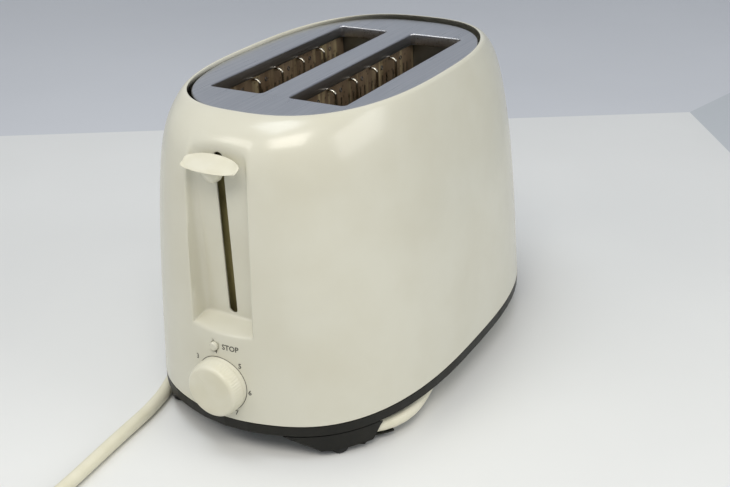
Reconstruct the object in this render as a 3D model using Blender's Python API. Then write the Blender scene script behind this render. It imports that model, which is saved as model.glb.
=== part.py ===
"""Two-slice pop up toaster, built as separate pieces.

Metres, +Z up.  The floor is z = 0, bread slots run along Y, the lever end faces -Y.
Every piece hangs from one empty, "toaster", whose origin is the middle of the housing's plan.
"""
import math

import bmesh
import bpy
from mathutils import Matrix, Vector

MM = 0.001
GAP = 0.3 * MM                 # clearance between pieces that touch

# Housing: superellipse plan that leans in towards the rim
SEAM_Z = 21.0 * MM             # joint between the base and the housing
HOUSING_H = 157.4 * MM         # from the seam to the rim's crest
SEAM_LENGTH = 260.0 * MM
SEAM_WIDTH = 168.4 * MM
PLAN_POWER_LOW = 2.755
PLAN_POWER_HIGH = 2.62
END_LEAN = 11.7 * MM           # straight lean of each end over the full height
END_CURL = 16.7 * MM           # extra turn-in at the rim
END_CURL_POWER = 17.75
SIDE_LEAN = 6.7 * MM
SIDE_CURL = 12.9 * MM
SIDE_CURL_POWER = 3.82
WALL = 2.2 * MM
RIM_WALL = 1.4 * MM
CREST_Z = SEAM_Z + HOUSING_H
FRONT_BULGE = 3.4 * MM         # the lever end swells this far in its middle, less towards the rim
FRONT_BULGE_W = 24.0 * MM
FRONT_BULGE_POWER = 12

# Control end
TROUGH_Y = -116.3 * MM         # flat floor of the lever recess
TROUGH_HALF_W = 14.8 * MM
TROUGH_MOUTH_HALF_W = 20.4 * MM
TROUGH_LOW_Z = SEAM_Z + 52.0 * MM
TROUGH_LEDGE_Z = SEAM_Z + 45.5 * MM
SLOT_HALF_W = 2.6 * MM
SLOT_LOW_Z = SEAM_Z + 54.0 * MM
SLOT_HIGH_Z = SEAM_Z + 142.0 * MM
DIAL_X = -1.0 * MM
DIAL_Z = SEAM_Z + 19.1 * MM
DIAL_R = 15.9 * MM
DIAL_BACK_Y = -133.3 * MM
DIAL_FACE_Y = -141.1 * MM
STOP_X = -3.8 * MM
STOP_Z = SEAM_Z + 40.6 * MM
STOP_R = 2.4 * MM
STOP_FACE_Y = -132.0 * MM

# Top plate and bread slots
PLATE_Z = SEAM_Z + 155.3 * MM
PLATE_T = 0.8 * MM
PLATE_HALF_L = 96.0 * MM
PLATE_HALF_W = 62.6 * MM
BREAD_SLOT_IN = 8.1 * MM       # inner edge of a slot, from the middle of the toaster
BREAD_SLOT_OUT = 41.5 * MM
BREAD_SLOT_HALF_L = 67.1 * MM
BREAD_X = (BREAD_SLOT_IN + BREAD_SLOT_OUT) / 2
FLANGE_DEPTH = 7.0 * MM

# Base
BAND_LOW_Z = 12.9 * MM
BAND_SLOPE = 2.3 * MM          # height of the sloping underside of the outer band
BAND_UNDERCUT = 5.0 * MM
NOTCH_X = -57.95 * MM          # side of the opening where the lead leaves the base
BASE_FLOOR_T = 2.0 * MM
BASE_WALL = 2.5 * MM
DRUM_HALF_W = 62.0 * MM
DRUM_HALF_L = 91.0 * MM
DRUM_CORNER_R = 25.0 * MM
DRUM_LOW_Z = 3.6 * MM
BLOCK_LOW_Z = 4.3 * MM
LIP_T = 1.0 * MM
HANDLE_PROUD = 1.2 * MM        # how far the crumb tray's handle stands out of the housing
# The housing sits this far back, so that the whole toaster is centred on the origin
HOUSING_Y = -(DIAL_FACE_Y + SEAM_LENGTH / 2 + HANDLE_PROUD) / 2
FOOT_X = 53.0 * MM
FOOT_Y = 106.0 * MM
FOOT_R = 4.8 * MM

# Chassis and works
CHASSIS_Y = 72.0 * MM
CHASSIS_HALF_W = 51.0 * MM
CHASSIS_TOP_Z = 168.0 * MM
SHEET = 1.0 * MM
MICA_T = 0.8 * MM
MICA_IN_X = 6.0 * MM
MICA_OUT_X = 43.9 * MM
MICA_TOP_Z = 172.0 * MM
WIRE_R = 0.8 * MM
GUARD_INSET = 3.4 * MM         # from a slot's edge to its guard wires
GUARD_WIRE_SPACING = 22.5 * MM
GUARD_TOP_Z = 168.4 * MM
ROD_Y = -95.0 * MM
ROD_R = 2.4 * MM
CARRIAGE_TRAVEL = 70.0 * MM
SLEEVE_LOW_Z = 141.0 * MM       # the sleeve on the guide rod, carriage up
SLEEVE_HIGH_Z = 162.0 * MM
SPRING_LOW_Z = 25.5 * MM
LEVER_Z = 156.0 * MM           # middle of the lever arm, carriage up
KNOB_HALF_W = 16.2 * MM
KNOB_BACK_Y = -118.6 * MM
KNOB_FRONT_Y = -128.6 * MM
KNOB_CREST_Y = -123.0 * MM      # front edge of the knob's narrow top
KNOB_BOW = 3.6 * MM
KNOB_RISE = 7.0 * MM            # top of the knob above the lever arm
ARM_TIP_Y = -123.5 * MM
RACK_TOP_Z = 112.0 * MM        # top of the bread racks, carriage up
RACK_H = 10.0 * MM
MAGNET_X = 18.0 * MM
BOARD_Y = -112.0 * MM
BOARD_T = 1.6 * MM
TRAY_HALF_W = 43.0 * MM
TRAY_FRONT_Y = -86.0 * MM

# Mains lead
CORD_R = 3.75 * MM
CORD_FLOOR_Z = 4.0 * MM        # middle of the lead where it lies on the floor
GLAND_Z = 7.1 * MM             # middle of the strain relief
WRAP_Y = 97.0 * MM             # straight ends of the wound lead
BEND_X = 46.0 * MM             # centre of the lead's bend at the front right corner
BEND_Y = 67.0 * MM
BEND_R = 30.0 * MM
COIL_X = -13.0 * MM
COIL_Y = -256.0 * MM
COIL_R = 37.5 * MM             # middle of the coil's turns
COIL_TURNS = 2
PLUG_X = 34.0 * MM
PLUG_Z = 15.8 * MM

CREAM = (0.86, 0.84, 0.74)
DARK_GREY = (0.045, 0.045, 0.042)
STEEL = (0.62, 0.63, 0.65)
ZINC = (0.55, 0.56, 0.55)
MICA = (0.30, 0.21, 0.12)


def finish(name, color, roughness, metallic=0.0):
    """A Principled material, shared by every piece that asks for the same name."""
    mat = bpy.data.materials.get(name)
    if mat is None:
        mat = bpy.data.materials.new(name)
        mat.use_nodes = True
        shader = mat.node_tree.nodes["Principled BSDF"]
        shader.inputs["Base Color"].default_value = (*color, 1.0)
        shader.inputs["Roughness"].default_value = roughness
        shader.inputs["Metallic"].default_value = metallic
    return mat


def cream():
    return finish("cream_plastic", CREAM, 0.3)


def dark():
    return finish("dark_plastic", DARK_GREY, 0.5)


def steel():
    return finish("stainless", STEEL, 0.3, 1.0)


def zinc():
    return finish("zinc_sheet", ZINC, 0.45, 1.0)


def add(name, bm, mat, origin=(0, 0, 0), smooth=False, parent=None):
    """Turn a bmesh into a named piece whose origin is at the given point."""
    bmesh.ops.recalc_face_normals(bm, faces=bm.faces)
    bmesh.ops.translate(bm, verts=bm.verts, vec=-Vector(origin))
    mesh = bpy.data.meshes.new(name)
    bm.to_mesh(mesh)
    bm.free()
    obj = bpy.data.objects.new(name, mesh)
    bpy.context.scene.collection.objects.link(obj)
    obj.location = origin
    obj.parent = parent or bpy.data.objects["toaster"]
    if mat:
        mesh.materials.append(mat)
    if smooth:
        mesh.shade_smooth()
        mesh.set_sharp_from_angle(angle=math.radians(35))
    return obj


def cutter(obj):
    obj.hide_render = True
    obj.display_type = "WIRE"
    return obj


def combine(obj, operation, tools):
    """Boolean modifiers on obj, one for each tool object."""
    for tool in tools:
        cutter(tool)
        mod = obj.modifiers.new(f"{operation.lower()}_{tool.name}", "BOOLEAN")
        mod.operation = operation
        mod.object = tool
    return obj


def box_bm(low, high):
    bm = bmesh.new()
    bmesh.ops.create_cube(bm, size=1.0)
    low, high = Vector(low), Vector(high)
    size = high - low
    bmesh.ops.scale(bm, vec=size, verts=bm.verts)
    bmesh.ops.translate(bm, vec=(low + high) / 2, verts=bm.verts)
    return bm


def box(name, low, high, mat=None, **options):
    return add(name, box_bm(low, high), mat, **options)


def loft_bm(rings):
    """Closed solid through rings of equal point count, both ends capped."""
    bm = bmesh.new()
    rows = [[bm.verts.new(p) for p in ring] for ring in rings]
    count = len(rings[0])
    for low, high in zip(rows, rows[1:]):
        for i in range(count):
            j = (i + 1) % count
            bm.faces.new((low[i], low[j], high[j], high[i]))
    bm.faces.new(rows[0])
    bm.faces.new(rows[-1])
    return bm


def turn_bm(profile, centre, axis, steps=32):
    """Solid of revolution: profile is (radius, distance along axis) from one end to the other."""
    turn = Vector((0, 0, 1)).rotation_difference(Vector(axis)).to_matrix()
    rings = []
    for radius, along in profile:
        angles = [2 * math.pi * i / steps for i in range(steps)]
        ring = [Vector((radius * math.cos(a), radius * math.sin(a), along)) for a in angles]
        rings.append([turn @ p + Vector(centre) for p in ring])
    return loft_bm(rings)


def turned(name, profile, centre, axis, mat=None, steps=32, **options):
    return add(name, turn_bm(profile, centre, axis, steps), mat, smooth=True, **options)


def rounded_rect(half_x, half_y, radius, per_corner=5):
    """Outline of a rounded rectangle round (0, 0), counter-clockwise."""
    points = []
    for quarter, (sx, sy) in enumerate(((1, 1), (-1, 1), (-1, -1), (1, -1))):
        for i in range(per_corner + 1):
            a = math.pi / 2 * (quarter + i / per_corner)
            x = sx * (half_x - radius) + radius * math.cos(a)
            y = sy * (half_y - radius) + radius * math.sin(a)
            points.append((x, y))
    return points


def superellipse(half_x, half_y, power, count):
    points = []
    for i in range(count):
        a = 2 * math.pi * i / count
        c, s = math.cos(a), math.sin(a)
        x = half_x * math.copysign(abs(c) ** (2 / power), c)
        y = half_y * math.copysign(abs(s) ** (2 / power), s)
        points.append((x, y))
    return points


def prism(name, outline, low_z, high_z, mat=None, centre=(0, 0), **options):
    rings = [[(x + centre[0], y + centre[1], z) for x, y in outline] for z in (low_z, high_z)]
    return add(name, loft_bm(rings), mat, **options)


def housing_plan(z, inset=0.0, count=80):
    """The housing's outline at height z, moved in by inset."""
    t = min(max((z - SEAM_Z) / HOUSING_H, 0.0), 1.0)
    half_y = SEAM_LENGTH / 2 - END_LEAN * t - END_CURL * t ** END_CURL_POWER - inset
    half_x = SEAM_WIDTH / 2 - SIDE_LEAN * t - SIDE_CURL * t ** SIDE_CURL_POWER - inset
    power = PLAN_POWER_LOW + (PLAN_POWER_HIGH - PLAN_POWER_LOW) * t
    swell = FRONT_BULGE * (1 - t ** FRONT_BULGE_POWER)
    points = []
    for x, y in superellipse(half_x, half_y, power, count):
        if y < 0:
            y -= swell * math.exp(-(x / FRONT_BULGE_W) ** 2)
        points.append((x, y))
    return points


def at_height(outline, z):
    return [(x, y, z) for x, y in outline]


def trough_cutter():
    """Lever recess: flat floor, rounded corners, sides and bottom ledge that open outwards."""
    high = CREST_Z - 6 * MM
    widen = TROUGH_MOUTH_HALF_W - TROUGH_HALF_W
    stations = (
        (TROUGH_Y, TROUGH_HALF_W, TROUGH_LOW_Z + 1.5 * MM),
        (TROUGH_Y - 0.6 * MM, TROUGH_HALF_W + 0.35 * widen, TROUGH_LOW_Z),
        (TROUGH_Y - 2.0 * MM, TROUGH_HALF_W + 0.65 * widen, TROUGH_LOW_Z - 1 * MM),
        (TROUGH_Y - 4.3 * MM, TROUGH_HALF_W + 0.88 * widen, TROUGH_LOW_Z - 2 * MM),
        (TROUGH_Y - 7.7 * MM, TROUGH_MOUTH_HALF_W, TROUGH_LEDGE_Z + 2 * MM),
        (TROUGH_Y - 13.0 * MM, TROUGH_MOUTH_HALF_W + 0.5 * MM, TROUGH_LEDGE_Z),
        (TROUGH_Y - 25.0 * MM, TROUGH_MOUTH_HALF_W + 1.2 * MM, TROUGH_LEDGE_Z - 2 * MM),
    )
    rings = []
    for y, half_w, low in stations:
        mid = (low + high) / 2
        outline = rounded_rect(half_w, (high - low) / 2, 6 * MM)
        rings.append([(x, y, mid + z) for x, z in outline])
    return add("trough_cutter", loft_bm(rings), None)


def make_housing():
    """Thin shell, open at the rim and at the bottom, with the recess pressed into its front end."""
    levels = (0, 0.12, 0.25, 0.38, 0.5, 0.6, 0.7, 0.78, 0.85, 0.9, 0.93, 0.955, 0.975, 0.99)
    rings = [at_height(housing_plan(SEAM_Z + HOUSING_H * t), SEAM_Z + HOUSING_H * t) for t in levels]
    rings.append(at_height(housing_plan(CREST_Z, 0.5 * MM), CREST_Z))
    shell = add("housing_shell", loft_bm(rings), cream(), smooth=True)
    cavity_rings = [at_height(housing_plan(SEAM_Z, WALL), SEAM_Z - 5 * MM)]
    for t in (0.0, 0.25, 0.5, 0.7, 0.85, 0.93):
        z = SEAM_Z + HOUSING_H * t
        cavity_rings.append(at_height(housing_plan(z, WALL), z))
    rim = housing_plan(CREST_Z, RIM_WALL)
    cavity_rings.append(at_height(rim, CREST_Z - 5 * MM))
    cavity_rings.append(at_height(rim, CREST_Z + 5 * MM))
    cavity = add("cavity", loft_bm(cavity_rings), None)
    backing_half_w = TROUGH_MOUTH_HALF_W + WALL
    backing_low = (-backing_half_w, -145 * MM, TROUGH_LEDGE_Z - RIM_WALL)
    backing_high = (backing_half_w, TROUGH_Y + WALL, CREST_Z - 9 * MM)
    backing = box("trough_backing", backing_low, backing_high)
    combine(cavity, "DIFFERENCE", [backing])
    slot_outline = rounded_rect(SLOT_HALF_W, (SLOT_HIGH_Z - SLOT_LOW_Z) / 2, 2 * MM, 3)
    slot_mid = (SLOT_LOW_Z + SLOT_HIGH_Z) / 2
    slot_rings = [[(x, y, slot_mid + z) for x, z in slot_outline] for y in (-140 * MM, -105 * MM)]
    slot = add("lever_slot_cutter", loft_bm(slot_rings), None)
    dial_hole = turned("dial_hole", [(3.8 * MM, 0), (3.8 * MM, 20 * MM)],
                       (DIAL_X, -143 * MM, DIAL_Z), (0, 1, 0), steps=20)
    stop_hole = turned("stop_hole", [(STOP_R + GAP, 0), (STOP_R + GAP, 20 * MM)],
                       (STOP_X, -143 * MM, STOP_Z), (0, 1, 0), steps=20)
    combine(shell, "DIFFERENCE", [cavity, trough_cutter(), slot, dial_hole, stop_hole])


def corner_block(name, sx, sy, size, channelled):
    """Foot block that follows the base's edge outside the wound lead."""
    centre = (sx * 56 * MM, sy * 104 * MM, 0)
    profile = [(15 * MM, BLOCK_LOW_Z), (17.5 * MM, 6.3 * MM)]
    profile += [(23.5 * MM, 9.5 * MM), (33 * MM, BAND_LOW_Z + 1 * MM)]
    block = turned(name, [(radius * size, z) for radius, z in profile], centre, (0, 0, 1), steps=32)
    edge = prism(name + "_edge", housing_plan(SEAM_Z, 1.0 * MM), 0, 20 * MM)
    combine(block, "INTERSECT", [edge])
    if channelled:
        reach = BEND_R + CORD_R + 1.4 * MM
        wall = [(reach + 0.8 * MM, 0), (reach + 0.5 * MM, BLOCK_LOW_Z)]
        wall += [(reach - 1.8 * MM, BAND_LOW_Z), (reach - 1.8 * MM, 20 * MM)]
        bend = (sx * BEND_X, sy * BEND_Y, 0)
        channel = turned(name + "_channel", wall, bend, (0, 0, 1), steps=48)
        combine(block, "DIFFERENCE", [channel])
    return block


def cord_lip(name, sx, sy, reach, end_angle):
    """Thin lip that reaches from a corner block under the lead."""
    near_angle = 66
    corners = [(27, near_angle), (38.5, near_angle), (38.5, near_angle - 6)]
    corners += [(reach, near_angle - 6 + (end_angle - near_angle + 6) * i / 4) for i in range(1, 5)]
    corners += [(29, end_angle)]
    outline = [(sx * r * math.cos(math.radians(a)), sy * r * math.sin(math.radians(a)))
               for r, a in corners]
    outline = [(x * MM, y * MM) for x, y in outline]
    low = BLOCK_LOW_Z + 0.3 * MM - LIP_T
    return prism(name, outline, low, low + LIP_T, centre=(sx * BEND_X, sy * BEND_Y))


def make_base():
    """Tray-shaped base: outer band, floor, drum and corner blocks for winding the lead."""
    top = SEAM_Z - GAP
    outline = housing_plan(SEAM_Z, 0.0, 72)
    foot_line = housing_plan(SEAM_Z, BAND_UNDERCUT, 72)
    rings = [at_height(foot_line, BAND_LOW_Z), at_height(outline, BAND_LOW_Z + BAND_SLOPE)]
    rings.append(at_height(outline, top))
    base = add("base_pan", loft_bm(rings), dark(), smooth=True)
    floor_top = BAND_LOW_Z + BASE_FLOOR_T
    inside = prism("base_inside", housing_plan(SEAM_Z, BASE_WALL, 72), floor_top, SEAM_Z + 5 * MM)
    drum = prism("drum", rounded_rect(DRUM_HALF_W, DRUM_HALF_L, DRUM_CORNER_R, 8),
                 DRUM_LOW_Z, BAND_LOW_Z + 1 * MM)
    hollow = rounded_rect(DRUM_HALF_W - 2 * MM, DRUM_HALF_L - 2 * MM, DRUM_CORNER_R - 2 * MM, 8)
    drum_inside = prism("drum_inside", hollow, 0, BAND_LOW_Z)
    combine(drum, "DIFFERENCE", [drum_inside])
    gland_box = box("gland_box", (-22 * MM, -105 * MM, 1.2 * MM), (-12 * MM, -90 * MM, 14.5 * MM))
    blocks = [corner_block("block_front_left", -1, -1, 0.62, False),
              corner_block("block_front_right", 1, -1, 1, True),
              corner_block("block_rear_left", -1, 1, 1, True),
              corner_block("block_rear_right", 1, 1, 1, True)]
    lips = [cord_lip("lip_front_right", 1, -1, 31.6, 30), cord_lip("lip_rear_left", -1, 1, 33.5, 48),
            cord_lip("lip_rear_right", 1, 1, 33.5, 48)]
    combine(base, "UNION", [drum, gland_box] + blocks + lips)
    exit_notch = box("exit_notch", (-90 * MM, -125 * MM, 0),
                     (NOTCH_X, -80 * MM, BAND_LOW_Z - 0.2 * MM))
    trenches = [box("trench_front", (0, -102.3 * MM, 0), (BEND_X, -DRUM_HALF_L - GAP, BAND_LOW_Z)),
                box("trench_rear", (-BEND_X, DRUM_HALF_L + GAP, 0), (BEND_X, 102.3 * MM, BAND_LOW_Z))]
    tray_notch = box("tray_notch", (-TRAY_HALF_W - 1 * MM, 100 * MM, floor_top),
                     (TRAY_HALF_W + 1 * MM, 140 * MM, SEAM_Z + 5 * MM))
    gland_bore = turned("gland_bore", [(4.5 * MM, 0), (4.5 * MM, 8 * MM)],
                        (-19 * MM, -WRAP_Y, GLAND_Z), (1, 0, 0), steps=20)
    hole = [(2.2 * MM, 0), (2.2 * MM, 25 * MM)]
    screw_holes = [turned(f"screw_hole_{i}", hole, (x, y, 0), (0, 0, 1), steps=12)
                   for i, (x, y) in enumerate(screw_places())]
    vents = [box(f"vent_{i}", (x - 1.5 * MM, -55 * MM, 0), (x + 1.5 * MM, -5 * MM, 25 * MM))
             for i, x in enumerate(x * MM for x in (-30, -18, -6, 6, 18, 30))]
    openings = [inside, exit_notch, tray_notch, gland_bore]
    combine(base, "DIFFERENCE", openings + trenches + screw_holes + vents)


def screw_places():
    return [(sx * 48 * MM, sy * 80 * MM) for sx in (-1, 1) for sy in (-1, 1)]


def make_feet_and_screws():
    profile = [(FOOT_R - 1.2 * MM, 0), (FOOT_R, 1.2 * MM), (FOOT_R, BLOCK_LOW_Z - GAP)]
    rubber = finish("rubber", (0.03, 0.03, 0.03), 0.8)
    ends = {"front": -1, "rear": 1}
    sides = {"left": -1, "right": 1}
    for end, sy in ends.items():
        for side, sx in sides.items():
            turned(f"foot_{end}_{side}", profile, (sx * FOOT_X, sy * FOOT_Y, 0), (0, 0, 1), rubber, steps=24)
    head_z = BAND_LOW_Z - GAP
    screw = [(3.2 * MM, head_z - 2.2 * MM), (3.6 * MM, head_z - 1.2 * MM), (3.6 * MM, head_z)]
    screw += [(1.7 * MM, head_z), (1.7 * MM, head_z + 8 * MM)]
    for i, (x, y) in enumerate(screw_places(), 1):
        turned(f"base_screw_{i}", screw, (x, y, 0), (0, 0, 1), zinc(), steps=16)


def make_top_plate():
    """Recessed plate with a folded flange round each bread slot."""
    outline = superellipse(PLATE_HALF_W, PLATE_HALF_L, PLAN_POWER_HIGH, 72)
    plate = prism("top_plate", outline, PLATE_Z - PLATE_T, PLATE_Z, steel())
    flanges = []
    slots = []
    half_w = (BREAD_SLOT_OUT - BREAD_SLOT_IN) / 2
    for side, sx in (("left", -1), ("right", 1)):
        centre = (sx * BREAD_X, 0)
        outer = rounded_rect(half_w + PLATE_T, BREAD_SLOT_HALF_L + PLATE_T, 3.3 * MM, 4)
        inner = rounded_rect(half_w, BREAD_SLOT_HALF_L, 2.5 * MM, 4)
        low = PLATE_Z - FLANGE_DEPTH
        flanges.append(prism(f"flange_{side}", outer, low, PLATE_Z - PLATE_T / 2, centre=centre))
        slots.append(prism(f"slot_{side}", inner, low - 5 * MM, PLATE_Z + 5 * MM, centre=centre))
    combine(plate, "UNION", flanges)
    combine(plate, "DIFFERENCE", slots)


def end_plate(name, y_low, forward):
    """Upright sheet across the works, with a slot for each rack's tongue."""
    plate = box(name, (-CHASSIS_HALF_W, y_low, 22 * MM),
                (CHASSIS_HALF_W, y_low + SHEET, CHASSIS_TOP_Z), zinc())
    low = RACK_TOP_Z - RACK_H - CARRIAGE_TRAVEL - 2 * MM
    slots = [box(f"{name}_slot_{i}", (sx * BREAD_X - 2.2 * MM, y_low - 5 * MM, low),
                 (sx * BREAD_X + 2.2 * MM, y_low + 5 * MM, RACK_TOP_Z + 2 * MM))
             for i, sx in enumerate((-1, 1))]
    if forward:
        tabs = []
        for i, z in enumerate((24 * MM, 166 * MM)):
            tab = box(f"{name}_tab_{i}", (-9 * MM, ROD_Y - 7 * MM, z),
                      (9 * MM, y_low + SHEET / 2, z + 1.2 * MM))
            tabs.append(tab)
        combine(plate, "UNION", tabs)
        hole = turned(f"{name}_rod_hole", [(ROD_R + GAP, 0), (ROD_R + GAP, 200 * MM)],
                      (0, ROD_Y, 0), (0, 0, 1), steps=20)
        slots.append(hole)
    combine(plate, "DIFFERENCE", slots)


def make_chassis():
    end_plate("front_end_plate", -CHASSIS_Y - SHEET, True)
    end_plate("rear_end_plate", CHASSIS_Y, False)
    for side, sx in (("left", -1), ("right", 1)):
        inner = sx * (CHASSIS_HALF_W + 0.8 * MM)
        outer = inner + sx * SHEET
        low = (min(inner, outer), -CHASSIS_Y - SHEET, 16 * MM)
        high = (max(inner, outer), CHASSIS_Y + SHEET, 160 * MM)
        box(f"{side}_side_panel", low, high, zinc())


def make_heaters():
    """Four mica boards: one pair back to back in the middle, one outside each slot."""
    mica = finish("mica", MICA, 0.6)
    places = {"left_outer": -MICA_OUT_X, "left_inner": -MICA_IN_X,
              "right_inner": MICA_IN_X, "right_outer": MICA_OUT_X}
    for place, x in places.items():
        low = (x - MICA_T / 2, -CHASSIS_Y + 0.5 * MM, 38 * MM)
        high = (x + MICA_T / 2, CHASSIS_Y - 0.5 * MM, MICA_TOP_Z)
        box(f"mica_board_{place}", low, high, mica)


def rod_between(name, start, end, radius, sides=8):
    start, end = Vector(start), Vector(end)
    axis = end - start
    return turned(name, [(radius, 0), (radius, axis.length)], start, axis.normalized(), steps=sides)


def make_guards():
    """Wire guards that keep the bread off the heaters: five hooked uprights on a foot rail."""
    wire = finish("guard_wire", (0.2, 0.19, 0.17), 0.4, 1.0)
    rail_z = 44 * MM
    outer, inner = BREAD_SLOT_OUT - GUARD_INSET, BREAD_SLOT_IN + GUARD_INSET
    places = {"left_outer": (-outer, -MICA_OUT_X), "left_inner": (-inner, -MICA_IN_X),
              "right_inner": (inner, MICA_IN_X), "right_outer": (outer, MICA_OUT_X)}
    for place, (x, board_x) in places.items():
        low = (x - WIRE_R, -66 * MM, rail_z - 1.5 * MM)
        high = (x + WIRE_R, 66 * MM, rail_z + 1.5 * MM)
        guard = box(f"bread_guard_{place}", low, high, wire)
        toward = math.copysign(1, board_x - x)
        hook_x = board_x - toward * (MICA_T / 2 + GAP)
        wires = []
        for i in range(5):
            y = (i - 2) * GUARD_WIRE_SPACING - 5 * MM
            foot, top = (x, y, rail_z), (x, y, GUARD_TOP_Z)
            wires.append(rod_between(f"{place}_wire_{i}", foot, top, WIRE_R * 0.98, 6))
            start = (x - toward * 0.5 * MM, y, GUARD_TOP_Z - 0.4 * MM)
            end = (hook_x, y, GUARD_TOP_Z - 0.4 * MM)
            wires.append(rod_between(f"{place}_hook_{i}", start, end, WIRE_R * 0.95, 6))
        combine(guard, "UNION", wires)


def make_racks(carriage):
    """Slotted rails that lift the bread, with a tongue through each end plate."""
    for side, sx in (("left", -1), ("right", 1)):
        x = sx * BREAD_X
        low = (x - 0.75 * MM, -81.8 * MM, RACK_TOP_Z - RACK_H)
        high = (x + 0.75 * MM, 77 * MM, RACK_TOP_Z - 2 * MM)
        rack = box(f"{side}_bread_rack", low, high, zinc(), parent=carriage)
        ribs = []
        for i in range(9):
            y = (i - 4) * 15 * MM
            rib_low = (x - 8 * MM, y - 0.9 * MM, RACK_TOP_Z - 5 * MM)
            ribs.append(box(f"{side}_rib_{i}", rib_low, (x + 8 * MM, y + 0.9 * MM, RACK_TOP_Z),
                            parent=carriage))
        combine(rack, "UNION", ribs)


def make_carriage_bracket(carriage):
    """Sleeve on the guide rod, T-shaped sheet to the racks, lever arm through the recess."""
    low_z, high_z = SLEEVE_LOW_Z, SLEEVE_HIGH_Z
    sleeve = turned("carriage_bracket", [(5 * MM, low_z), (5 * MM, high_z)], (0, ROD_Y, 0), (0, 0, 1),
                    zinc(), steps=28, parent=carriage)
    back = -83.2 * MM
    rack_z = RACK_TOP_Z - RACK_H
    carrier_z = 119 * MM
    boxes = {
        "stem": ((-8, back / MM, rack_z / MM), (8, back / MM + 1.2, high_z / MM - 1)),
        "cross": ((-28, back / MM, rack_z / MM), (28, back / MM + 1.2, rack_z / MM + 12)),
        "web": ((-1.5, ROD_Y / MM + 2, low_z / MM + 1), (1.5, back / MM + 0.6, high_z / MM - 2)),
        "arm": ((-0.9, ARM_TIP_Y / MM, LEVER_Z / MM - 4.5), (0.9, ROD_Y / MM - 2, LEVER_Z / MM + 2.5)),
        "carrier": ((6, -107, carrier_z / MM), (25, back / MM + 0.6, carrier_z / MM + 1.4)),
    }
    parts = [box(f"bracket_{key}", [c * MM for c in low], [c * MM for c in high], parent=carriage)
             for key, (low, high) in boxes.items()]
    combine(sleeve, "UNION", parts)
    bore = turned("sleeve_bore", [(ROD_R + GAP, 0), (ROD_R + GAP, 200 * MM)], (0, ROD_Y, 0), (0, 0, 1),
                  steps=20, parent=carriage)
    combine(sleeve, "DIFFERENCE", [bore])
    iron = finish("iron", (0.35, 0.34, 0.33), 0.5, 1.0)
    armature = ((MAGNET_X - 6 * MM, -107 * MM, carrier_z - 2.5 * MM),
                (MAGNET_X + 6 * MM, -95 * MM, carrier_z - GAP))
    box("armature_plate", *armature, iron, parent=carriage)


def knob_outline(half_w, front):
    """Plan of the lever knob: back edge bowed round the housing, bowed front, blunt ends."""
    steps = 10
    share = half_w / KNOB_HALF_W
    points = []
    for i in range(steps + 1):
        u = -1 + 2 * i / steps
        points.append((half_w * u, KNOB_BACK_Y - KNOB_BOW * (share * u) ** 4))
    middle = (points[-1][1] + front) / 2
    for i in range(1, steps * 2):
        a = math.pi * i / (steps * 2)
        points.append((half_w * math.cos(a) * 1.02, middle + (front - middle) * math.sin(a) ** 0.75))
    return points


def make_lever_knob(carriage):
    """Wedge-shaped thumb plate with a stem below it and a pocket for the lever arm."""
    low, high = LEVER_Z - 1 * MM, LEVER_Z + KNOB_RISE
    inset = 1.2 * MM
    rings = [at_height(knob_outline(KNOB_HALF_W - inset, KNOB_FRONT_Y + inset), low),
             at_height(knob_outline(KNOB_HALF_W, KNOB_FRONT_Y), low + 1.5 * MM),
             at_height(knob_outline(KNOB_HALF_W * 0.86, KNOB_CREST_Y), high)]
    knob = add("lever_knob", loft_bm(rings), cream(), smooth=True, parent=carriage)
    stem = box("knob_stem", (-3.4 * MM, KNOB_BACK_Y - 8.5 * MM, LEVER_Z - 6.5 * MM),
               (3.4 * MM, KNOB_BACK_Y, low + 2 * MM), parent=carriage)
    pocket = box("knob_pocket", (-1.2 * MM, ARM_TIP_Y - 0.4 * MM, LEVER_Z - 4.8 * MM),
                 (1.2 * MM, -110 * MM, LEVER_Z + 2.8 * MM), parent=carriage)
    combine(knob, "UNION", [stem])
    combine(knob, "DIFFERENCE", [pocket])


def make_carriage():
    carriage = bpy.data.objects.new("carriage", None)
    bpy.context.scene.collection.objects.link(carriage)
    carriage.parent = bpy.data.objects["toaster"]
    make_racks(carriage)
    make_carriage_bracket(carriage)
    make_lever_knob(carriage)
    turned("guide_rod", [(ROD_R, 17 * MM), (ROD_R, 169 * MM)], (0, ROD_Y, 0), (0, 0, 1), steel(), steps=20)
    low, high = SPRING_LOW_Z, SLEEVE_LOW_Z - GAP
    section = ((3.1 * MM, low), (5.6 * MM, low), (5.6 * MM, high), (3.1 * MM, high))
    add("carriage_spring", ring_solid(section, (0, ROD_Y), 24), zinc(), smooth=True)


def ring_solid(section, centre, steps):
    """Closed ring about a vertical axis: section is (radius, height) from corner to corner."""
    bm = bmesh.new()
    rows = []
    for radius, z in section:
        angles = [2 * math.pi * i / steps for i in range(steps)]
        rows.append([bm.verts.new((centre[0] + radius * math.cos(a), centre[1] + radius * math.sin(a), z))
                     for a in angles])
    for low, high in zip(rows, rows[1:] + rows[:1]):
        for i in range(steps):
            j = (i + 1) % steps
            bm.faces.new((low[i], low[j], high[j], high[i]))
    return bm


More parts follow.
